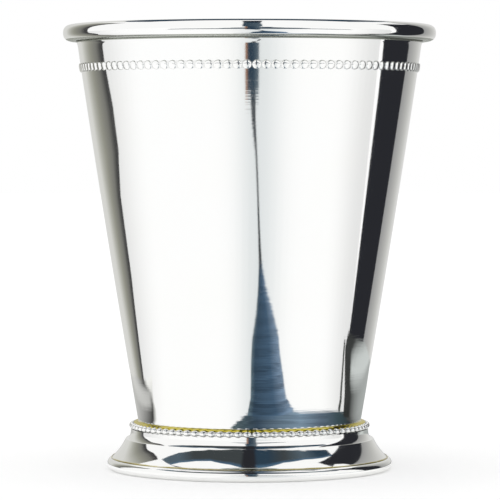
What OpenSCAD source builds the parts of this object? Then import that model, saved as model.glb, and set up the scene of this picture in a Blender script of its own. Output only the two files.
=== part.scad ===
// Julep cup: a tapered cup of thin silvered sheet with a rolled rim, two beaded bands and a coved foot.
// Sizes are in millimetres. The origin is on the table under the middle of the cup, and Z points up.
// All of the pieces are turned about the Z axis and are soldered or brazed to each other.

/* [Body wall] */
// Height from the table to the top of the rim
cup_h = 108; // [102:0.5:114]
// Diameter over the rolled rim
rim_d = 90.6; // [88:0.2:94]
// Diameter of the roll that the rim's edge is turned into
roll_d = 4.4; // [3.8:0.1:5]
// How far the raw edge runs on past the bottom of the roll, towards the wall
roll_lap = 0.2; // [0:0.1:0.6]
// Thickness of the body's sheet
sheet_t = 0.9; // [0.6:0.05:1.1]
// Depth of the crease where the neck flares into the roll, below the top of the rim
neck_drop = 6.6; // [6:0.1:8]
// Diameter of the wall at that crease
neck_d = 82.8; // [82.4:0.1:83.4]
// Depth of the top of the tapered side below the top of the rim
side_drop = 8.8; // [8.6:0.1:10]
// Diameter at the top of the tapered side
side_top_d = 82.4; // [80:0.1:82.8]
// Diameter of the wall at its lower end
toe_d = 52.8; // [48:0.2:54]
// How far the side swells out past a straight cone
side_swell = 0.28; // [0:0.02:0.6]

/* [Cup floor] */
// Thickness of the floor
floor_t = 0.9; // [0.6:0.05:1.4]
// How far the middle of the floor stands above its edge
floor_crown = 0.8; // [0.2:0.1:2]
// Height of the floor's turned-up rim
floor_lip_h = 3; // [2.6:0.1:5]
// Inside radius between the floor and its turned-up rim
floor_corner_r = 1.2; // [0.6:0.1:1.4]

/* [Bead bands] */
// Number of beads round the upper band
upper_beads = 115; // [100:1:125]
// Depth of the middle of the upper band below the top of the tapered side
band_drop = 1.6; // [1.2:0.1:4]
// How far the upper beads stand out of the wall
upper_bead_rise = 0.45; // [0.35:0.05:0.8]
// Number of beads round the lower band
lower_beads = 83; // [78:1:90]
// How far the lower beads stand out of the collar's neck
lower_bead_rise = 0.4; // [0.2:0.05:0.5]
// Gap between neighbouring beads
bead_gap = 0.14; // [0.08:0.02:0.3]
// How far the web that joins the upper beads stands out of the wall
web_rise = 0.2; // [0.18:0.02:0.3]
// Thickness of that web
web_t = 0.12; // [0.08:0.01:0.16]
// Height of that web
web_h = 1.2; // [0.8:0.1:1.4]
// Diameter of the wire between the lower beads
lower_wire_d = 1.3; // [1:0.1:1.5]

/* [Foot collar] */
// Thickness of the collar's neck, outwards from the lower end of the wall
collar_t = 2.55; // [2.35:0.05:3]
// Height of the collar above the skirt
collar_h = 4.2; // [4:0.1:5]
// How far the collar's foot flares out past its neck
flare_w = 1.1; // [0.6:0.05:1.5]
// Height of the flare
flare_h = 1.3; // [0.8:0.1:1.6]
// Width of the rabbet that the lower beads lie in
rabbet_w = 0.95; // [0.8:0.05:1.05]
// Depth of that rabbet below the top of the collar
rabbet_h = 1.75; // [1.6:0.05:1.9]

/* [Foot skirt] */
// Height of the top of the skirt above the table
skirt_top_z = 7.5; // [6.8:0.1:9]
// Width of the ledge that the skirt leaves round the collar's flare
ledge_w = 0.15; // [0.05:0.05:0.6]
// How far the skirt's flange reaches in under the wall and the floor
flange_w = 2.4; // [2:0.1:6]
// How far the skirt spreads from the ledge down to the base ring
skirt_spread = 3.35; // [2.8:0.05:4]
// How deeply the skirt's side is coved
cove_depth = 0.3; // [0.1:0.05:0.6]
// Thickness of the skirt's sheet
skirt_t = 1; // [0.7:0.05:1.2]

/* [Base ring] */
// How far the base ring stands out past the skirt
ring_out_w = 1.2; // [1:0.05:1.8]
// How far the base ring reaches in behind the skirt's edge
ring_in_w = 1.85; // [1.5:0.05:2.4]
// Thickness of the base ring
ring_t = 2.9; // [2.6:0.1:3.1]
// Chamfer round the inner edges of the base ring
ring_ease = 0.3; // [0.1:0.05:0.5]

/* [Brazed seams] */
// Height of the brazed seam above the collar
seam_h = 1.05; // [0.6:0.05:1.5]
// Width of the brazed seam, outwards from the wall
seam_w = 1.25; // [0.9:0.05:1.4]
// Width of the braze line in the crease above the base ring
ring_seam_w = 0.45; // [0.3:0.05:0.6]
// Thickness of the solder film between curved faces
solder_t = 0.03; // [0.02:0.01:0.05]

/* [Hidden] */
$fn = 96;
silver = [0.88, 0.89, 0.88];
braze_gold = [0.72, 0.62, 0.22];
// The swelling side and the raised floor are drawn as this many strips
side_steps = 12;
floor_steps = 8;
// How far the cuts run past what they cut
overrun = 1;

// Radius of a round cap from its width and its rise
function cap_r(width, rise) = (pow(width / 2, 2) + pow(rise, 2)) / (2 * rise);
// Distance from bead to bead round a ring
function bead_pitch(ring_r, beads) = 2 * ring_r * sin(180 / beads);

// The tapered side of the wall, from the skirt up to just above the upper beads
side_top_z = cup_h - side_drop;
side_h = side_top_z - skirt_top_z;
function side_share(z) = (z - skirt_top_z) / side_h;
function side_r(z) = let (share = side_share(z))
    (toe_d + (side_top_d - toe_d) * share) / 2 + 4 * side_swell * share * (1 - share);
function side_point(step) = let (z = skirt_top_z + side_h * step / side_steps) [side_r(z), z];

// The roll round the rim, and the neck that flares into it
roll_r = roll_d / 2;
roll_mid = [rim_d / 2 - roll_r, cup_h - roll_r];
throat_r = roll_mid.x - roll_r + sheet_t;
neck = [neck_d / 2, cup_h - neck_drop];
throat = [throat_r, cup_h - roll_d];

// The pan-shaped floor: its foot, the lean of its rim, and its inside corner
pan_r = side_r(skirt_top_z) - sheet_t - solder_t;
pan_lean = (side_r(skirt_top_z + floor_lip_h) - side_r(skirt_top_z)) / floor_lip_h;
pan_angle = atan(pan_lean);
pan_corner = [pan_r - floor_t + pan_lean * floor_t, skirt_top_z + floor_t];
pan_tangent = floor_corner_r * tan((90 - pan_angle) / 2);
dish_r = pan_corner.x - pan_tangent;

// The upper beads are round caps that lie against the top of the side, joined by a thin web
band_z = side_top_z - band_drop;
back_low = side_point(side_steps - 1);
back_high = side_point(side_steps);
back_lean = (back_high.x - back_low.x) / (back_high.y - back_low.y);
function back_r(z) = back_low.x + back_lean * (z - back_low.y);
upper_bead_w = bead_pitch(back_r(band_z), upper_beads) - bead_gap;
upper_bead_r = cap_r(upper_bead_w, upper_bead_rise);

// The collar round the lower end of the wall
neck_r = toe_d / 2 + collar_t;
flare_r = neck_r + flare_w;
collar_top_z = skirt_top_z + collar_h;
rabbet_r = neck_r - rabbet_w;
rabbet_z = collar_top_z - rabbet_h;

// The lower beads are balls that just fit round their ring
bead_share = sin(180 / lower_beads);
lower_ring_r = (neck_r + lower_bead_rise + bead_gap / 2) / (1 + bead_share);
lower_bead_r = lower_ring_r * bead_share - bead_gap / 2;
lower_ring_z = collar_top_z - solder_t - lower_bead_r;

// The cove of the skirt is a round arc from the ledge down to the base ring
ledge = [flare_r + ledge_w, skirt_top_z];
crease = [ledge.x + skirt_spread, ring_t];
cove_way = (crease - ledge) / norm(crease - ledge);
cove_r = cap_r(norm(crease - ledge), cove_depth);
cove_mid = (ledge + crease) / 2 + [-cove_way.y, cove_way.x] * (cove_r - cove_depth);
flange_in_r = toe_d / 2 - flange_w;

// The base ring is round outside and flat underneath
edge_r = ring_t / 2;
edge_mid = [crease.x + ring_out_w - edge_r, edge_r];
ring_in_r = crease.x - ring_in_w;

// Section of the wall's sheet from the skirt up to the height of the roll's centre
module wall_section() {
    outside = concat(
        [for (step = [0:side_steps]) side_point(step)],
        [neck, throat, [throat_r, roll_mid.y]]
    );
    inside = [for (i = [len(outside) - 1:-1:0]) outside[i] - [sheet_t, 0]];
    polygon(concat(outside, inside));
}

// Section of the rim's roll, open at the bottom on the side of the wall
module roll_section() {
    open_side = roll_r + overrun;
    translate(roll_mid)
        difference() {
            circle(r = roll_r);
            circle(r = roll_r - sheet_t);
            translate([-open_side, -open_side])
                square([open_side - roll_lap, open_side]);
        }
}

// Wall and rolled rim in one piece of sheet
module body_wall() {
    color(silver)
        rotate_extrude() {
            wall_section();
            roll_section();
        }
}

// Pan-shaped floor, soldered into the lower end of the wall
module cup_floor() {
    rim_out = [pan_r + pan_lean * floor_lip_h, skirt_top_z + floor_lip_h];
    under = [for (step = [0:floor_steps])
        let (share = step / floor_steps)
            [dish_r * share, skirt_top_z + floor_crown * (1 - share * share)]];
    over = [for (i = [floor_steps:-1:0]) under[i] + [0, floor_t]];
    color(silver)
        rotate_extrude() {
            polygon(concat(under, [[pan_r, skirt_top_z], rim_out, rim_out - [floor_t, 0], pan_corner], over));
            difference() {
                polygon([
                    pan_corner,
                    pan_corner + pan_tangent * [sin(pan_angle), cos(pan_angle)],
                    [dish_r, pan_corner.y + floor_corner_r],
                    [dish_r, pan_corner.y]
                ]);
                translate([dish_r, pan_corner.y + floor_corner_r])
                    circle(r = floor_corner_r);
            }
        }
}

// A ball cut flat behind. Its seam is turned to that side, so that the seam is cut away too
module flat_backed_ball(ball_r, ball_x, back_x) {
    side = 4 * ball_r;
    difference() {
        translate([ball_x, 0, 0])
            rotate([0, 0, 180])
                sphere(r = ball_r);
        translate([back_x - side, -side / 2, -side / 2])
            cube(side);
    }
}

// Sets a piece of the upper band against the leaning wall, at an angle round the cup and as much
// further in as a straight web is at its middle
module against_wall(turn) {
    rotate([0, 0, turn])
        translate([back_r(band_z) * cos(turn), 0, band_z])
            rotate([0, atan(back_lean), 0])
                children();
}

// Beaded strip soldered round the wall under the rim
module upper_bead_band() {
    turn = 360 / upper_beads;
    web_w = bead_pitch(back_r(band_z), upper_beads);
    color(silver)
        for (i = [0:upper_beads - 1])
            rotate([0, 0, turn * i]) {
                against_wall(0)
                    flat_backed_ball(upper_bead_r, upper_bead_rise - upper_bead_r, solder_t);
                against_wall(turn / 2)
                    translate([web_rise - web_t, -web_w / 2, -web_h / 2])
                        cube([web_t, web_w, web_h]);
            }
}

// Straight length of the wire between two lower beads, cut flat behind as they are
module lower_wire(ring_x, back_x) {
    side = 4 * lower_bead_r;
    difference() {
        translate([ring_x, 0, 0])
            rotate([90, 0, 0])
                cylinder(h = bead_pitch(lower_ring_r, lower_beads), r = lower_wire_d / 2, center = true);
        translate([back_x - side, -side / 2, -side / 2])
            cube(side);
    }
}

// Beaded wire lying in the rabbet of the collar
module lower_bead_band() {
    turn = 360 / lower_beads;
    back_x = rabbet_r + solder_t;
    color(silver)
        difference() {
            translate([0, 0, lower_ring_z])
                for (i = [0:lower_beads - 1])
                    rotate([0, 0, turn * i]) {
                        flat_backed_ball(lower_bead_r, lower_ring_r, back_x);
                        rotate([0, 0, turn / 2])
                            lower_wire(lower_ring_r * cos(turn / 2), back_x);
                    }
            translate([0, 0, rabbet_z + solder_t - overrun])
                cylinder(h = overrun, r = neck_r + overrun);
        }
}

// Collar round the lower end of the wall, flared at its foot and rabbeted for the beads
module foot_collar() {
    color(silver)
        rotate_extrude()
            polygon([
                [side_r(skirt_top_z) + solder_t, skirt_top_z],
                [flare_r, skirt_top_z],
                [neck_r, skirt_top_z + flare_h],
                [neck_r, rabbet_z],
                [rabbet_r, rabbet_z],
                [rabbet_r, collar_top_z],
                [side_r(collar_top_z) + solder_t, collar_top_z]
            ]);
}

// Hollow coved skirt with an in-turned flange that carries the wall, the floor and the collar
module foot_skirt() {
    color(silver)
        rotate_extrude() {
            intersection() {
                translate(cove_mid)
                    difference() {
                        circle(r = cove_r + skirt_t);
                        circle(r = cove_r);
                    }
                translate([flange_in_r, ring_t])
                    square([crease.x - flange_in_r, skirt_top_z - ring_t]);
            }
            difference() {
                translate([flange_in_r, skirt_top_z - skirt_t])
                    square([ledge.x - flange_in_r, skirt_t]);
                translate(cove_mid)
                    circle(r = cove_r);
            }
        }
}

// Base ring that the cup stands on
module foot_ring() {
    color(silver)
        rotate_extrude() {
            translate(edge_mid)
                circle(r = edge_r);
            polygon([
                [ring_in_r + ring_ease, 0],
                [edge_mid.x, 0],
                [edge_mid.x, ring_t],
                [ring_in_r + ring_ease, ring_t],
                [ring_in_r, ring_t - ring_ease],
                [ring_in_r, ring_ease]
            ]);
        }
}

// Brazed fillet between the wall and the top of the collar
module collar_seam() {
    inner_r = side_r(collar_top_z) + solder_t;
    color(braze_gold)
        rotate_extrude()
            polygon([
                [inner_r, collar_top_z],
                [inner_r + seam_w, collar_top_z],
                [side_r(collar_top_z + seam_h) + solder_t, collar_top_z + seam_h]
            ]);
}

// Thin braze line in the crease between the skirt and the base ring
module ring_seam() {
    cove_out = (cove_mid - crease) / norm(cove_mid - crease);
    cove_up = [-cove_out.y, cove_out.x];
    out_r = crease.x + ring_seam_w;
    out_z = edge_mid.y + sqrt(pow(edge_r, 2) - pow(out_r - edge_mid.x, 2));
    color(braze_gold)
        rotate_extrude()
            polygon([
                crease + [solder_t, solder_t],
                [out_r, out_z + solder_t],
                crease + cove_up * ring_seam_w + cove_out * solder_t
            ]);
}

body_wall();
cup_floor();
upper_bead_band();
lower_bead_band();
foot_collar();
foot_skirt();
foot_ring();
collar_seam();
ring_seam();
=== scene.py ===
import math

import bmesh
import bpy
from mathutils import Matrix, Vector


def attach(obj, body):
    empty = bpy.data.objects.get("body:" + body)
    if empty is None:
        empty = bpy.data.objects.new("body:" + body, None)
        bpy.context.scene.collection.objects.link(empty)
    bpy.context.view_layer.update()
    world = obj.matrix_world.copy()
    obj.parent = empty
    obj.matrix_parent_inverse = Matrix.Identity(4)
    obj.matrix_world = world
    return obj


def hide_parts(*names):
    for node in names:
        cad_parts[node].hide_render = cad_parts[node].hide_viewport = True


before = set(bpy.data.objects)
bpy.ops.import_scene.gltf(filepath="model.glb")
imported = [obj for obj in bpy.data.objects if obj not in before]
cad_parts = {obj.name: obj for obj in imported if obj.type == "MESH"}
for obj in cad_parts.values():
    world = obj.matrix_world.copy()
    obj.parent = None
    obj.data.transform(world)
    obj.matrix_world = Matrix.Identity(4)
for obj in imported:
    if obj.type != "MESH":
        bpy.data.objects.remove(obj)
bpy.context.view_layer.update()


# Camera
# A long lens about 0.8 m in front of the cup, level with its upper third and turned slightly down,
# as in the photograph. It isn't part of the cup.
eye = Vector((0.00012, -0.787, 0.0802))
look_at = Vector((0.00012, 0.0, 0.0533))
camera_data = bpy.data.cameras.new("camera")
camera_data.sensor_width = 36
camera_data.lens = 232.6
camera_data.clip_start = 0.05
camera = bpy.data.objects.new("camera", camera_data)
camera.location = eye
camera.rotation_euler = (look_at - eye).to_track_quat("-Z", "Y").to_euler()
bpy.context.collection.objects.link(camera)
bpy.context.scene.camera = camera
bpy.context.scene.view_settings.view_transform = "Standard"


# Room light
# An even white room all round. It lights the floor, and it is what the polished metal mirrors where
# no card stands.
room = bpy.data.worlds.new("room")
bpy.context.scene.world = room
room.use_nodes = True
room_light = room.node_tree.nodes["Background"]
room_light.inputs["Color"].default_value = (1, 1, 1, 1)
room_light.inputs["Strength"].default_value = 1.0


# Body wall
# The cup's side: one sheet of silver-plated metal spun to a taper, its top edge flared, turned
# outwards and rolled down into a hollow rim. The outside is mirror polished with fine lathe lines,
# and the inside is satin.
MM = 0.001


def polished(name, tint, roughness, line_depth, grain):
    """Mirror-polished plate: fine turning lines run round the axis, with a faint uneven tone."""
    material = bpy.data.materials.new(name)
    material.use_nodes = True
    nodes, links = material.node_tree.nodes, material.node_tree.links
    metal = nodes["Principled BSDF"]
    metal.inputs["Metallic"].default_value = 1.0
    metal.inputs["Anisotropic"].default_value = 0.75
    where = nodes.new("ShaderNodeTexCoord")

    # The lathe's lines: a noise drawn out round the cup and very fine up and down
    along = nodes.new("ShaderNodeMapping")
    along.inputs["Scale"].default_value = (22, 22, grain)
    lines = nodes.new("ShaderNodeTexNoise")
    lines.inputs["Scale"].default_value = 1.0
    lines.inputs["Detail"].default_value = 3.0
    lines.inputs["Roughness"].default_value = 0.6
    links.new(where.outputs["Object"], along.inputs["Vector"])
    links.new(along.outputs["Vector"], lines.inputs["Vector"])
    bump = nodes.new("ShaderNodeBump")
    bump.inputs["Strength"].default_value = 1.0
    bump.inputs["Distance"].default_value = line_depth
    links.new(lines.outputs["Fac"], bump.inputs["Height"])
    links.new(bump.outputs["Normal"], metal.inputs["Normal"])

    # Handling haze: soft patches a few centimetres wide that are a little duller
    haze = nodes.new("ShaderNodeTexNoise")
    haze.inputs["Scale"].default_value = 45.0
    haze.inputs["Detail"].default_value = 4.0
    links.new(where.outputs["Object"], haze.inputs["Vector"])
    dull = nodes.new("ShaderNodeMapRange")
    dull.inputs["From Min"].default_value = 0.35
    dull.inputs["From Max"].default_value = 0.75
    dull.inputs["To Min"].default_value = roughness * 0.8
    dull.inputs["To Max"].default_value = roughness * 1.35
    links.new(haze.outputs["Fac"], dull.inputs["Value"])
    links.new(dull.outputs["Result"], metal.inputs["Roughness"])

    # Plate tone: very slightly warmer where the haze lies
    tone = nodes.new("ShaderNodeMix")
    tone.data_type = "RGBA"
    tone.inputs["A"].default_value = (*tint, 1)
    tone.inputs["B"].default_value = (tint[0] * 0.985, tint[1] * 0.98, tint[2] * 0.955, 1)
    links.new(haze.outputs["Fac"], tone.inputs["Factor"])
    links.new(tone.outputs["Result"], metal.inputs["Base Color"])

    # The lines run round the axis, so the gloss spreads up and down
    around = nodes.new("ShaderNodeTangent")
    around.direction_type = "RADIAL"
    around.axis = "Z"
    links.new(around.outputs["Tangent"], metal.inputs["Tangent"])
    return material


def turned(section, steps):
    """Spins a closed section, given as radius and height in millimetres, once round the axis."""
    bm = bmesh.new()
    points = [bm.verts.new((radius * MM, 0, height * MM)) for radius, height in section]
    edges = [bm.edges.new(pair) for pair in zip(points, points[1:] + points[:1])]
    bmesh.ops.spin(
        bm, geom=points + edges, cent=(0, 0, 0), axis=(0, 0, 1),
        angle=math.tau, steps=steps, use_merge=True,
    )
    bmesh.ops.remove_doubles(bm, verts=bm.verts, dist=0.002 * MM)
    bmesh.ops.recalc_face_normals(bm, faces=bm.faces)
    return bm


def finished(name, bm, materials, node, crease=40):
    """Makes the piece an object, smooth but for its creases, that stands for its CAD node."""
    for face in bm.faces:
        face.smooth = True
    for edge in bm.edges:
        if len(edge.link_faces) == 2 and edge.calc_face_angle() > math.radians(crease):
            edge.smooth = False
    mesh = bpy.data.meshes.new(name)
    bm.to_mesh(mesh)
    bm.free()
    for material in materials:
        mesh.materials.append(material)
    piece = bpy.data.objects.new(name, mesh)
    bpy.context.collection.objects.link(piece)
    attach(piece, "root")
    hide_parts(node)


def arc(middle, radius, start, end, parts):
    """Points along a round corner of a section, with angles in degrees from straight outwards."""
    turn = [math.radians(start + (end - start) * i / parts) for i in range(parts + 1)]
    return [(middle[0] + radius * math.cos(t), middle[1] + radius * math.sin(t)) for t in turn]


def flattened(points, middle, radius, squareness=2.4, pressed_share=0.91):
    """Presses a round bead of sheet a little square and flat, as the planishing roller leaves it."""
    pressed = []
    for out, up in points:
        out_share, up_share = (out - middle[0]) / radius, (up - middle[1]) / radius
        stretch = (abs(out_share) ** squareness + abs(up_share) ** squareness) ** (-1 / squareness)
        pressed_out, pressed_up = radius * out_share * stretch, radius * up_share * stretch
        pressed.append((middle[0] + pressed_out, middle[1] + pressed_share * pressed_up))
    return pressed


wall_foot_r, wall_foot_z = 26.4, 7.5
wall_top_r, wall_top_z = 41.2, 99.2
wall_swell = 0.28
sheet = 0.9


def wall_r(height):
    """Outer radius of the tapered side, which swells a little past a straight cone."""
    share = (height - wall_foot_z) / (wall_top_z - wall_foot_z)
    return wall_foot_r + (wall_top_r - wall_foot_r) * share + 4 * wall_swell * share * (1 - share)


plate = polished("silver plate, mirror", (0.955, 0.96, 0.962), 0.045, 0.000005, 2100)
satin = polished("silver plate, satin inside", (0.93, 0.93, 0.915), 0.24, 0.000002, 1900)
# Under the roll the plate is rougher, and its dark tint is painted shade
shaded_dull_underside = polished("silver plate, dull under the roll", (0.42, 0.44, 0.40), 0.3, 0.000003, 1500)

side_heights = [wall_foot_z + (wall_top_z - wall_foot_z) * i / 22 for i in range(23)]
side = [(wall_r(height), height) for height in side_heights]
neck = [
    (41.34, 100.2), (41.48, 101.2), (41.60, 102.1), (41.70, 102.75), (41.82, 103.25), (41.97, 103.65),
    (41.93, 104.05), (41.80, 104.4), (41.80, 106.01),
]
outside = side + neck
roll_middle = (43.1, 106.01)
roll_r, roll_hollow_r = 2.18, 1.3
roll_inside = arc(roll_middle, roll_hollow_r, 180, -112, 22)
roll_outside = flattened(arc(roll_middle, roll_r, -114, 180, 66), roll_middle, roll_r)
inside = [(radius - sheet, height) for radius, height in reversed(outside)]
wall = turned(outside + roll_inside + roll_outside + inside, 288)

# The inside is satin up to the neck, and under the roll, where the polishing wheel hardly reaches, the
# plate is duller and darkened as painted shade
satin_r, satin_top_z = 40.95, 103.5
shaded_dull_from_r, shaded_dull_to_r, shaded_dull_top_z = 41.9, 44.75, 104.5
for face in wall.faces:
    middle = face.calc_center_median()
    from_axis = math.hypot(middle.x, middle.y)
    looks_in = face.normal.x * middle.x + face.normal.y * middle.y < 0
    if looks_in and from_axis < satin_r * MM and middle.z < satin_top_z * MM:
        face.material_index = 1
    if shaded_dull_from_r * MM < from_axis < shaded_dull_to_r * MM and middle.z < shaded_dull_top_z * MM:
        face.material_index = 2
finished("body_wall_sheet", wall, [plate, satin, shaded_dull_underside], "body_wall")


# Cup floor
# A pan-shaped disc of the same sheet, its rim turned up inside the wall and soldered to it, and its
# middle pushed up a little. It is satin like the inside, with coarser rings from the spinning tool.
floor_metal = polished("silver plate, spun floor", (0.91, 0.91, 0.89), 0.27, 0.000006, 900)
dish_r, dish_crown = 23.9, 0.8
dish = [(dish_r * (i / 8), wall_foot_z + dish_crown * (1 - (i / 8) ** 2)) for i in range(9)]
pan_rim = [(25.2, 7.5), (25.47, 7.72), (25.96, 10.3), (25.82, 10.5), (25.2, 10.5), (25.08, 10.3)]
pan_corner = arc((23.51, 9.6), 1.2, -9, -90, 8)[:-1]
pan_top = [(radius, height + sheet) for radius, height in reversed(dish)]
pan = dish + pan_rim + pan_corner + pan_top[1:]
finished("cup_floor_pan", turned(pan, 192), [floor_metal], "cup_floor")


# Upper bead band
# A strip of half-round beads joined by a thin web, bent round the cup and soldered on under the rim.
# Every bead is left bright on top and darkened towards its base and its lower side: tarnish in the
# grooves, with painted shade between and under the beads.
def beaded(name, tint, tarnish_shade_start):
    """Polished bead metal, darkened in the grooves and on each bead's lower side: tarnish, with painted
    shade between and under the beads.
    """
    material = polished(name, tint, 0.06, 0.0000002, 2600)
    nodes, links = material.node_tree.nodes, material.node_tree.links
    metal = nodes["Principled BSDF"]
    tarnish_shade = nodes.new("ShaderNodeAttribute")
    tarnish_shade.attribute_name = "tarnish_shade"
    tarnish_shade_share = nodes.new("ShaderNodeMapRange")
    tarnish_shade_share.interpolation_type = "SMOOTHSTEP"
    tarnish_shade_share.inputs["From Min"].default_value = tarnish_shade_start
    tarnish_shade_share.inputs["From Max"].default_value = 0.95
    links.new(tarnish_shade.outputs["Fac"], tarnish_shade_share.inputs["Value"])
    tarnish_shade_mix = nodes.new("ShaderNodeMix")
    tarnish_shade_mix.data_type = "RGBA"
    tarnish_shade_mix.inputs["B"].default_value = (0.06, 0.065, 0.055, 1)
    tone = metal.inputs["Base Color"].links[0].from_socket
    links.new(tarnish_shade_share.outputs["Result"], tarnish_shade_mix.inputs["Factor"])
    links.new(tone, tarnish_shade_mix.inputs["A"])
    links.new(tarnish_shade_mix.outputs["Result"], metal.inputs["Base Color"])
    return material


def bead_row(count, width, height, depth, ring_r, ring_z, back, lean, flatness, web):
    """Low-faced beads with their poles outwards, closed flat behind, on the ring that joins them."""
    bm = bmesh.new()
    tarnish_shade = bm.verts.layers.float.new("tarnish_shade")
    bmesh.ops.create_uvsphere(bm, u_segments=12, v_segments=8, radius=1)
    ball = bm.verts[:] + bm.edges[:] + bm.faces[:]

    # Points within a thousandth of the cut count as on it, so a cut along the equator leaves no slivers
    bmesh.ops.bisect_plane(
        bm, geom=ball, plane_co=(0, 0, back / depth), plane_no=(0, 0, 1), dist=0.001, clear_inner=True,
    )
    bmesh.ops.contextual_create(bm, geom=[edge for edge in bm.edges if edge.is_boundary])

    # Tarnish and painted shade: a value of 1 is darkest, at the bottom of a groove, and the lower side of a
    # bead gets more painted shade
    groove_height, web_tarnish_shade = 0.3, 0.6
    for vert in bm.verts:
        depth_share = max(0.0, 1.0 - max(0.0, vert.co.z) / groove_height)
        vert[tarnish_shade] = depth_share * (0.8 + 0.2 * vert.co.x)
        vert.co.z = math.copysign(abs(vert.co.z) ** flatness, vert.co.z)
    shape = Matrix.Diagonal((height / 2 * MM, width / 2 * MM, depth * MM, 1))
    outwards = Matrix.Rotation(math.radians(90), 4, "Y")
    tilt = Matrix.Rotation(lean, 4, "Y")
    place = Matrix.Translation((ring_r * MM, 0, ring_z * MM))
    bmesh.ops.transform(bm, matrix=place @ tilt @ outwards @ shape, verts=bm.verts)
    bmesh.ops.recalc_face_normals(bm, faces=bm.faces)
    bmesh.ops.spin(
        bm, geom=bm.verts[:] + bm.edges[:] + bm.faces[:], cent=(0, 0, 0), axis=(0, 0, 1),
        angle=math.tau * (count - 1) / count, steps=count - 1, use_duplicate=True,
    )
    # The web between the beads is darkened too, with tarnish and painted shade
    joined = turned(web, 3 * count)
    joined_tarnish_shade = joined.verts.layers.float.new("tarnish_shade")
    for vert in joined.verts:
        vert[joined_tarnish_shade] = web_tarnish_shade
    ring = bpy.data.meshes.new("web")
    joined.to_mesh(ring)
    joined.free()
    bm.from_mesh(ring)
    bpy.data.meshes.remove(ring)
    return bm


bead_plate = beaded("silver plate, upper beads", (0.965, 0.97, 0.97), tarnish_shade_start=0.5)
band_z, band_low_z, band_high_z = 97.6, 96.0, 99.2
band_lean = math.atan((wall_r(band_high_z) - wall_r(band_low_z)) / (band_high_z - band_low_z))
web_half, web_back, web_face = 0.85, 0.04, 0.15
web_corners = [(-web_half, web_back), (-web_half, web_face), (web_half, web_face), (web_half, web_back)]
web = [(wall_r(band_z + up) + out, band_z + up) for up, out in web_corners]
band = bead_row(
    count=115, width=2.25, height=2.2, depth=0.44, ring_r=wall_r(band_z) + 0.03, ring_z=band_z,
    back=0.0, lean=band_lean, flatness=0.6, web=web,
)
finished("upper_beads", band, [bead_plate], "upper_bead_band", crease=70)


# Lower bead band
# Thicker beaded wire lying in a rabbet on the top edge of the collar. The beads are a little flat,
# wider than they are tall, and darkened between and below them: tarnish, with painted shade.
lower_plate = beaded("silver plate, lower beads", (0.955, 0.96, 0.96), tarnish_shade_start=0.5)
lower_count = 83
wire_r, wire_z = 28.35, 10.72
lower = bead_row(
    count=lower_count, width=2.13, height=1.44, depth=0.98, ring_r=wire_r, ring_z=wire_z,
    back=-0.3, lean=0.0, flatness=0.8, web=arc((wire_r, wire_z), 0.5, 0, 330, 11),
)
finished("lower_beads", lower, [lower_plate], "lower_bead_band", crease=70)


# Foot collar
# The neck ring round the lower end of the wall: straight above, flared at its foot, and rabbeted at
# its top edge for the beaded wire. It is cast, plated and polished.
collar_plate = polished("silver plate, collar", (0.955, 0.958, 0.955), 0.055, 0.0000008, 2200)
flare = arc((31.77, 9.3), 2.82, 219.7, 180, 10)
rabbet = [(28.92, 9.95), (28.0, 9.95), (28.0, 11.0), (27.2, 11.0), (27.1, 10.6)]
collar = [(26.5, 7.5)] + flare + rabbet
finished("foot_collar_ring", turned(collar, 256), [collar_plate], "foot_collar")


# Foot skirt
# The coved, hollow skirt of the foot, spun from plated sheet. Its top is turned in to a flange that
# the collar and the wall are soldered on, and a small ledge of it shows round the collar.
foot_plate = polished("silver plate, foot", (0.955, 0.958, 0.955), 0.055, 0.0000008, 2200)
ledge, crease_low = Vector((30.2, 7.5)), Vector((33.55, 2.9))
down_slope = ledge - crease_low
outwards = Vector((down_slope.y, -down_slope.x)).normalized()
cove_depth, cove_foot_z = 0.3, 2.9
cove_outside = []
for i in range(15):
    share = i / 14
    dip = 4 * cove_depth * share * (1 - share)
    cove_outside.append(tuple(ledge.lerp(crease_low, share) - outwards * dip))
step_in, step_down, toe_inside_r = 1.15, 0.35, 32.5
cove_inside = [
    (min(radius - step_in, toe_inside_r), max(height - step_down, cove_foot_z))
    for radius, height in reversed(cove_outside)
]
skirt = [(24.0, 7.5)] + cove_outside + cove_inside[:-2] + [(28.6, 6.5), (24.0, 6.5)]
finished("foot_skirt_cove", turned(skirt, 256), [foot_plate], "foot_skirt")


# Base ring
# The rounded ring that the cup stands on, of the same plated metal as the skirt. It is brazed under
# the skirt's edge and is flat beneath.
ring_round = arc((33.3, 1.45), 1.45, 80, -90, 20)
ring = [(32.0, 2.9)] + ring_round + [(32.0, 0.0), (31.7, 0.3), (31.7, 2.6)]
finished("base_ring", turned(ring, 256), [foot_plate], "foot_ring")


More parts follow.
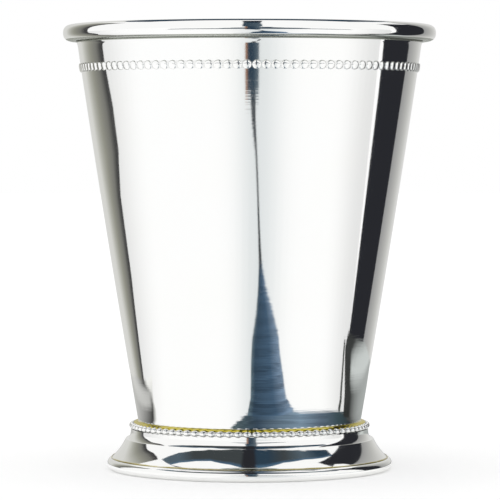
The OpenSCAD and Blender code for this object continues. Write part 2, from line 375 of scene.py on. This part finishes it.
# Brazed seams
# Brass-coloured braze left where the wall meets the collar and in the crease above the base ring.
# It lies in small lumps behind the beads, and turns silver where the plate has run over it.
def braze(name, gold, gold_low, gold_high):
    """Bright braze metal up to a height, then plate over it, with an uneven edge between them."""
    material = polished(name, (0.95, 0.95, 0.93), 0.13, 0.000001, 1500)
    nodes, links = material.node_tree.nodes, material.node_tree.links
    metal = nodes["Principled BSDF"]
    where = nodes.new("ShaderNodeTexCoord")
    split = nodes.new("ShaderNodeSeparateXYZ")
    links.new(where.outputs["Object"], split.inputs["Vector"])
    uneven = nodes.new("ShaderNodeTexNoise")
    uneven.inputs["Scale"].default_value = 260.0
    uneven.inputs["Detail"].default_value = 2.0
    links.new(where.outputs["Object"], uneven.inputs["Vector"])
    shift = nodes.new("ShaderNodeMath")
    shift.operation = "MULTIPLY_ADD"
    shift.inputs[1].default_value = 0.6 * MM
    links.new(uneven.outputs["Fac"], shift.inputs[0])
    links.new(split.outputs["Z"], shift.inputs[2])
    share = nodes.new("ShaderNodeMapRange")
    share.interpolation_type = "SMOOTHSTEP"
    share.inputs["From Min"].default_value = gold_low * MM
    share.inputs["From Max"].default_value = gold_high * MM
    links.new(shift.outputs["Value"], share.inputs["Value"])
    over = nodes.new("ShaderNodeMix")
    over.data_type = "RGBA"
    over.inputs["A"].default_value = (*gold, 1)
    tone = metal.inputs["Base Color"].links[0].from_socket
    links.new(share.outputs["Result"], over.inputs["Factor"])
    links.new(tone, over.inputs["B"])
    links.new(over.outputs["Result"], metal.inputs["Base Color"])
    return material


seam_section = [
    (27.1, 11.05), (28.0, 11.05), (28.45, 11.1), (28.42, 11.25), (28.15, 11.43), (27.8, 11.58),
    (27.45, 11.7), (27.27, 11.8), (27.23, 11.9), (27.1, 11.9),
]
seam = turned(seam_section, lower_count * 5)

# The braze swells behind each bead and wanders a little round the cup. Its back stays on the wall
seam_back_r, seam_bottom_z = 27.3, 11.08
for vert in seam.verts:
    turn = math.atan2(vert.co.y, vert.co.x)
    radius = math.hypot(vert.co.x, vert.co.y)
    if vert.co.z / MM > seam_bottom_z and radius > seam_back_r * MM:
        lump = math.cos(lower_count * turn)
        swell = 0.07 * lump + 0.03 * math.sin(7 * turn + 1.0) + 0.02 * math.sin(19 * turn)
        vert.co.x *= (radius + swell * MM) / radius
        vert.co.y *= (radius + swell * MM) / radius
        vert.co.z += (0.05 * lump + 0.05 * math.sin(5 * turn)) * MM
collar_gold = braze("braze, collar", (0.60, 0.50, 0.05), gold_low=12.1, gold_high=12.35)
finished("collar_braze", seam, [collar_gold], "collar_seam")

line_section = [(33.57, 2.94), (33.78, 2.87), (33.76, 2.94), (33.66, 3.04), (33.5, 3.14), (33.51, 3.04)]
line_gold = braze("braze, base", (0.52, 0.44, 0.14), gold_low=3.2, gold_high=3.6)
finished("base_braze", turned(line_section, 256), [line_gold], "ring_seam")


# Floor and backdrop
# A plain white table that runs back out of sight. It isn't part of the cup, and it keeps the cup's
# shadow.
def white_surface(name, glow):
    """White paper, with a little light of its own for the camera and for what mirrors it."""
    material = bpy.data.materials.new(name)
    material.use_nodes = True
    nodes, links = material.node_tree.nodes, material.node_tree.links
    nodes.remove(nodes["Principled BSDF"])
    output = nodes["Material Output"]
    paper = nodes.new("ShaderNodeBsdfDiffuse")
    paper.inputs["Color"].default_value = (0.95, 0.95, 0.95, 1)
    light = nodes.new("ShaderNodeEmission")
    path = nodes.new("ShaderNodeLightPath")
    seen = nodes.new("ShaderNodeMath")
    seen.operation = "MAXIMUM"
    links.new(path.outputs["Is Camera Ray"], seen.inputs[0])
    links.new(path.outputs["Is Glossy Ray"], seen.inputs[1])
    seen_through = nodes.new("ShaderNodeMath")
    seen_through.operation = "MAXIMUM"
    links.new(seen.outputs["Value"], seen_through.inputs[0])
    links.new(path.outputs["Is Transmission Ray"], seen_through.inputs[1])
    level = nodes.new("ShaderNodeMath")
    level.operation = "MULTIPLY"
    level.inputs[1].default_value = glow
    links.new(seen_through.outputs["Value"], level.inputs[0])
    links.new(level.outputs["Value"], light.inputs["Strength"])
    both = nodes.new("ShaderNodeAddShader")
    links.new(paper.outputs["BSDF"], both.inputs[0])
    links.new(light.outputs["Emission"], both.inputs[1])
    links.new(both.outputs["Shader"], output.inputs["Surface"])
    return material


table = bmesh.new()
bmesh.ops.create_grid(table, x_segments=1, y_segments=1, size=4.0)
table_mesh = bpy.data.meshes.new("table")
table.to_mesh(table_mesh)
table.free()
table_mesh.materials.append(white_surface("white table", 0.13))
table_top = bpy.data.objects.new("table", table_mesh)
bpy.context.collection.objects.link(table_top)


# Studio cards
# Painted cards like a photographer's tent, outside the picture or lying unseen on the table. They
# aren't part of the cup: the camera doesn't see them, and only the polished metal mirrors them.
# Each card glows with its own paint though it is no lamp, so the metal shows it as a painted reflection
def card(name, rows, from_below=False):
    """A card that glows with its paint, a painted reflection only for the metal to mirror: rows of points in
    millimetres, each with its paint.
    """
    bm = bmesh.new()
    paint_layer = bm.verts.layers.float_color.new("paint")
    grid = []
    for row in rows:
        line = []
        for x, y, z, paint in row:
            vert = bm.verts.new((x * MM, y * MM, z * MM))
            vert[paint_layer] = (*paint, 1)
            line.append(vert)
        grid.append(line)
    for near, far in zip(grid, grid[1:]):
        for i in range(len(near) - 1):
            bm.faces.new((near[i], near[i + 1], far[i + 1], far[i]))
    mesh = bpy.data.meshes.new(name)
    bm.to_mesh(mesh)
    bm.free()
    material = bpy.data.materials.new(name)
    material.use_nodes = True
    nodes, links = material.node_tree.nodes, material.node_tree.links
    nodes.remove(nodes["Principled BSDF"])
    colour = nodes.new("ShaderNodeAttribute")
    colour.attribute_name = "paint"
    glow = nodes.new("ShaderNodeEmission")
    links.new(colour.outputs["Color"], glow.inputs["Color"])
    seen = glow.outputs["Emission"]

    # A card that hangs below the rim is clear from above, so that the rim doesn't mirror it
    if from_below:
        side = nodes.new("ShaderNodeNewGeometry")
        clear = nodes.new("ShaderNodeBsdfTransparent")
        one_sided = nodes.new("ShaderNodeMixShader")
        links.new(side.outputs["Backfacing"], one_sided.inputs[0])
        links.new(seen, one_sided.inputs[1])
        links.new(clear.outputs["BSDF"], one_sided.inputs[2])
        seen = one_sided.outputs["Shader"]
    links.new(seen, nodes["Material Output"].inputs["Surface"])
    mesh.materials.append(material)
    board = bpy.data.objects.new(name, mesh)
    bpy.context.collection.objects.link(board)
    board.visible_camera = False
    board.visible_diffuse = False
    board.visible_shadow = False


def grey(level, warm=0.0):
    """Grey paint of a brightness, its blue held back where it is warm."""
    return (level, level, level * (1 - warm))


def round_cup(bearing, reach, z, paint):
    """A card's point at a bearing from the camera's side, in degrees, and a distance from the axis."""
    turn = math.radians(bearing)
    return reach * math.sin(turn), -reach * math.cos(turn), z, paint


black = (0.022, 0.023, 0.028)
navy = (0.026, 0.05, 0.078)
slate = (0.085, 0.12, 0.15)

# The black flag on the right, nearer the camera towards its top
black_x, black_back_y = 148, 91
black_edge = [(0, 12), (18, 8), (30, 5), (52, 1), (70, -1), (88, -5), (115, -9), (200, -12)]
card("black flag", [[(black_x, y, z, black) for y in (near, black_back_y)] for z, near in black_edge])

# The grey boards behind, and the olive flag on the left that they run into
boards = [
    (149, 92, grey(0.32)), (130, 140, grey(0.49, 0.03)), (115, 175, grey(0.61, 0.03)),
    (96, 218, grey(0.70, 0.02)), (60, 300, grey(0.74, 0.02)), (-60, 300, grey(0.74, 0.02)),
    (-101, 112, grey(0.68, 0.04)), (-105, 93, grey(0.56, 0.07)),
]
card("grey boards", [[(x, y, z, paint) for x, y, paint in boards] for z in (0, 260)])
olive_x, olive_back_y = -105, 93
olive_edge = [(0, 44), (18, 34), (30, 27), (52, 22), (64, 10), (76, 8), (88, 12), (115, 10), (200, 4)]
olive = [
    (0.0, grey(0.05)), (0.08, grey(0.06)), (0.22, grey(0.19, 0.09)), (0.5, grey(0.30, 0.14)),
    (1.0, grey(0.56, 0.07)),
]
card("olive flag", [
    [(olive_x, near + (olive_back_y - near) * share, z, paint) for share, paint in olive]
    for z, near in olive_edge
])

# The gap in the tent that the camera looks through, with its warm edge, the roof over it, and the room
gap_y, gap_step_z, roof_z = -345, 130, 420
copper = (0.30, 0.15, 0.085)
gap = [(-16, copper), (-9, copper), (-6, navy), (12, navy), (30, slate), (36, slate)]
card("camera gap, low", [[(x, gap_y, z, paint) for x, paint in gap] for z in (0, gap_step_z)])
card("camera gap, upper", [
    [(-24, gap_y, z, navy), (44, gap_y, z, slate)] for z in (gap_step_z, roof_z)
])
card("camera gap, roof", [
    [(-24, gap_y, roof_z, navy), (44, gap_y, roof_z, navy)],
    [(-13, -40, roof_z, black), (24, -40, roof_z, black)],
])
room_y = gap_y - 7
room_edge = [(-110, 64, 68), (-60, 62, 90), (10, 62, 112), (62, 62, 118), (130, 62, 100), (250, 66, 76)]
card("room behind the camera", [
    [(x, room_y, low, slate) for x, low, high in room_edge],
    [(x, room_y, high, navy) for x, low, high in room_edge],
])
card("dark ceiling behind", [[(x, y, roof_z, navy) for x in (-200, 200)] for y in (60, 700)])


# The paper on the table, a glowing card a little brighter than white, with painted shade towards the
# flags and where the camera stands over it
def eased(place, start, end):
    """A soft step that goes from 0 to 1 between two places."""
    share = min(1.0, max(0.0, (place - start) / (end - start)))
    return share * share * (3 - 2 * share)


def hump(place, middle, width_before, width_after):
    """A soft hump that is 1 at its middle and has its own width on each side."""
    width = width_before if place < middle else width_after
    return math.exp(-(((place - middle) / width) ** 2))


paper_z = 0.2
paper = []
for reach in (36, 90, 300, 2500):
    line = []
    for bearing in range(-130, 96, 5):
        level = 1.045 - 0.245 * eased(-bearing, 76, 125) - 0.225 * eased(bearing, 60, 93)
        # Painted shade of the camera over the middle of the paper
        camera_shade_share = hump(bearing, 5, 14, 17)
        paint = tuple(level - depth * camera_shade_share for depth in (0.265, 0.235, 0.225))
        line.append(round_cup(bearing, reach, paper_z, paint))
    paper.append(line)
card("paper", paper)

# What the camera and its stand shade on the table, wide by the cup and thin farther off: the left
# and right ends of each line across, and the paint from left to right. Lines of paint in uneven
# tones are what the lathe lines on the wall pull into hairs
shade_z = 0.6
shade = [
    (-2, -60, 38, -52), (1, -71, 36, -63), (1.5, -81, 40, -78), (2, -95, 42, -92), (4, -110, 45, -106),
    (12, -130, 41, -126), (17, -148, 33, -146), (20, -165, 28, -165),
]
across = [
    (0.0, (0.075, 0.115, 0.14)), (0.12, (0.028, 0.05, 0.078)), (0.62, (0.043, 0.078, 0.125)),
    (1.0, (0.15, 0.21, 0.29)),
]
line_spacing = 1.6
ladder = []
for near, far in zip(shade, shade[1:]):
    steps = max(1, round((near[1] - far[1]) / line_spacing))
    for step in range(steps):
        x0, y0, x1, y1 = [a + (b - a) * step / steps for a, b in zip(near, far)]
        tone = 1.3 + 0.55 * math.sin(2.3 * len(ladder)) + 0.25 * math.sin(0.9 * len(ladder) + 1)
        ladder.append([
            (x0 + (x1 - x0) * share, y0 + (y1 - y0) * share, shade_z, tuple(v * tone for v in paint))
            for share, paint in across
        ])
card("camera shade", ladder)
thin = [
    (20.5, 27.5, -162, 0.045), (21.5, 26.5, -190, 0.05), (22, 26.5, -232, 0.05), (20, 25.5, -272, 0.06),
    (8, 22, -315, 0.07), (4, 24, -343, 0.05),
]
card("camera shade, far", [
    [(x, y, shade_z, (v * 0.9, v, v * 1.1)) for x in (left, right)] for left, right, y, v in thin
])

# The cup's own shadow on the table in front of it and to the right: bearing, reach and paint
shadow_z, shadow_start = 0.4, 49
shadow = [
    (-15, 53, 0.10, 0.14, 0.15), (5, 66, 0.033, 0.056, 0.085), (42, 64, 0.20, 0.285, 0.37),
    (62, 66, 0.10, 0.14, 0.19), (84, 70, 0.045, 0.075, 0.09), (112, 75, 0.03, 0.032, 0.032),
    (130, 76, 0.05, 0.05, 0.05), (156, 64, 0.80, 0.80, 0.80),
]


def between(stops, place):
    """What lies at a place on a straight run between the two stops beside it."""
    near, far = next(pair for pair in zip(stops, stops[1:]) if place <= pair[1][0])
    share = (place - near[0]) / (far[0] - near[0])
    return [a + (b - a) * share for a, b in zip(near[1:], far[1:])]


rings = []
for step in range(11):
    line = []
    for bearing in range(-15, 157, 3):
        reach, *paint = between(shadow, bearing)
        out = shadow_start + (reach - shadow_start) * step / 10
        tone = 1.0 + (0.35 * math.sin(2.3 * step) if bearing < 70 and step < 10 else 0)
        line.append(round_cup(bearing, out, shadow_z, tuple(v * tone for v in paint)))
    rings.append(line)
card("shadow by the foot", rings)


# Painted shadow of each flag on the table by its foot: dark along a line and slowly lighter behind it
def shaded_row(x, start, lit, line, dark, fade, beyond, edge=6.0):
    """Brightness along one strip of table that runs away from the camera, its points closest at the line."""
    row = [(x, start, lit), (x, max(start + 0.5, line - edge), lit), (x, line, dark)]
    far_end, parts, crowding = 230, 8, 2.5
    for i in range(1, parts + 1):
        y = line + (far_end - line) * (i / parts) ** crowding
        row.append((x, y, beyond - (beyond - dark) * math.exp((line - y) / fade)))
    return row


strip_z = 0.5
black_flag_shadow = [
    shaded_row(20, 60, 0.43, 62, 0.42, 40, 0.42), shaded_row(60, 34, 0.20, 36, 0.20, 20, 0.41),
    shaded_row(68, 4, 0.03, 16, 0.03, 20, 0.42), shaded_row(89, 7, 0.045, 24, 0.045, 25, 0.41),
    shaded_row(99, 6, 0.04, 21, 0.04, 6, 0.42), shaded_row(113, 4, 0.045, 22, 0.045, 1.5, 0.63),
    shaded_row(130, 1, 0.05, 21, 0.05, 14, 0.62), shaded_row(147.5, 8, 0.045, 40, 0.06, 100, 0.70),
]
card("table by the black flag", [
    [(x, y, strip_z, (v * 0.95, v, v * 0.98)) for x, y, v in row] for row in black_flag_shadow
])
thin_line = [(135, -3.5), (108, -2.5), (97, -2.5), (88, -3), (80, -3), (70, -6)]
card("thin line on the table", [
    [(x, edge, shade_z, (0.035, 0.04, 0.035)) for edge in (y - 1, y + 3)] for x, y in thin_line
])
olive_flag_shadow = [
    shaded_row(-20, 60, 0.60, 62, 0.58, 40, 0.59), shaded_row(-56, 10, 0.30, 18, 0.10, 32, 0.55, 4),
    shaded_row(-64, 2, 0.75, 9, 0.04, 42, 0.60), shaded_row(-73, 4, 0.70, 11, 0.045, 30, 0.52),
    shaded_row(-80, 9, 0.60, 13, 0.10, 3, 0.56, 4), shaded_row(-90, 12, 0.75, 17, 0.47, 30, 0.64, 5),
    shaded_row(-100, 12, 0.90, 43, 0.07, 30, 0.68, 14),
    shaded_row(-104.5, 12, 0.95, 46, 0.07, 35, 0.68, 14),
]
card("table by the olive flag", [
    [(x, y, strip_z, grey(v, 0.03)) for x, y, v in row] for row in olive_flag_shadow
])

# The dark front of the tent's roof, which only the foot looks up at: the outer and inner end of each
# line, and its paint. Its inner edge is bluer
front_z = 90
dusk = (0.05, 0.058, 0.062)
blue_edge = (0.075, 0.15, 0.24)
front = [
    (-102, 10, -86, 22, slate), (-108, -14, -78, -1, slate), (-110, -40, -75, -20, slate),
    (-98, -70, -62, -42, dusk), (-74, -94, -46, -54, dusk), (-30, -112, -20, -50, dusk),
    (-14, -114, -9, -43, dusk), (-9, -114, -6, -41, black), (7, -114, 5, -41, black),
    (12, -114, 8, -41, navy), (32, -111, 17, -42, navy), (62, -99, 38, -51, dusk),
    (90, -82, 67, -45, slate), (113, -60, 92, -26, navy), (134, -34, 114, -12, navy),
]
front_rows = []
for x0, y0, x1, y1, paint in front:
    inner = paint if paint == black else blue_edge
    front_rows.append([
        (x0 + (x1 - x0) * share, y0 + (y1 - y0) * share, front_z, shown)
        for share, shown in ((0, paint), (0.5, paint), (0.8, paint), (1, inner))
    ])
card("tent front", front_rows, from_below=True)
sill = [(-42, 160), (-34, 172), (0, 172), (30, 172), (46, 165), (54, 150)]
card("tent front, sill", [
    [round_cup(bearing, out, front_z, navy) for out in (116, reach)] for bearing, reach in sill
], from_below=True)

# The white roof beside each flag, as the foot sees it over their tops: the two ends of each line
white_z = 88
left_roof = [
    (-108, 97, -50, 97), (-112, 70, -48, 60), (-114, 48, -45, 35), (-112, 24, -42, 15),
    (-102, 4, -40, -2), (-70, -4, -39, -12),
]
right_roof = [
    (50, 110, 68, 95), (55, 80, 78, 70), (52, 50, 82, 50), (50, 35, 94, 35), (48, 20, 92, 22),
    (45, 8, 84, 6),
]
for name, panel in (("white roof, left", left_roof), ("white roof, right", right_roof)):
    card(name, [
        [(x0, y0, white_z, grey(1.0)), (x1, y1, white_z, grey(1.0))] for x0, y0, x1, y1 in panel
    ], from_below=True)
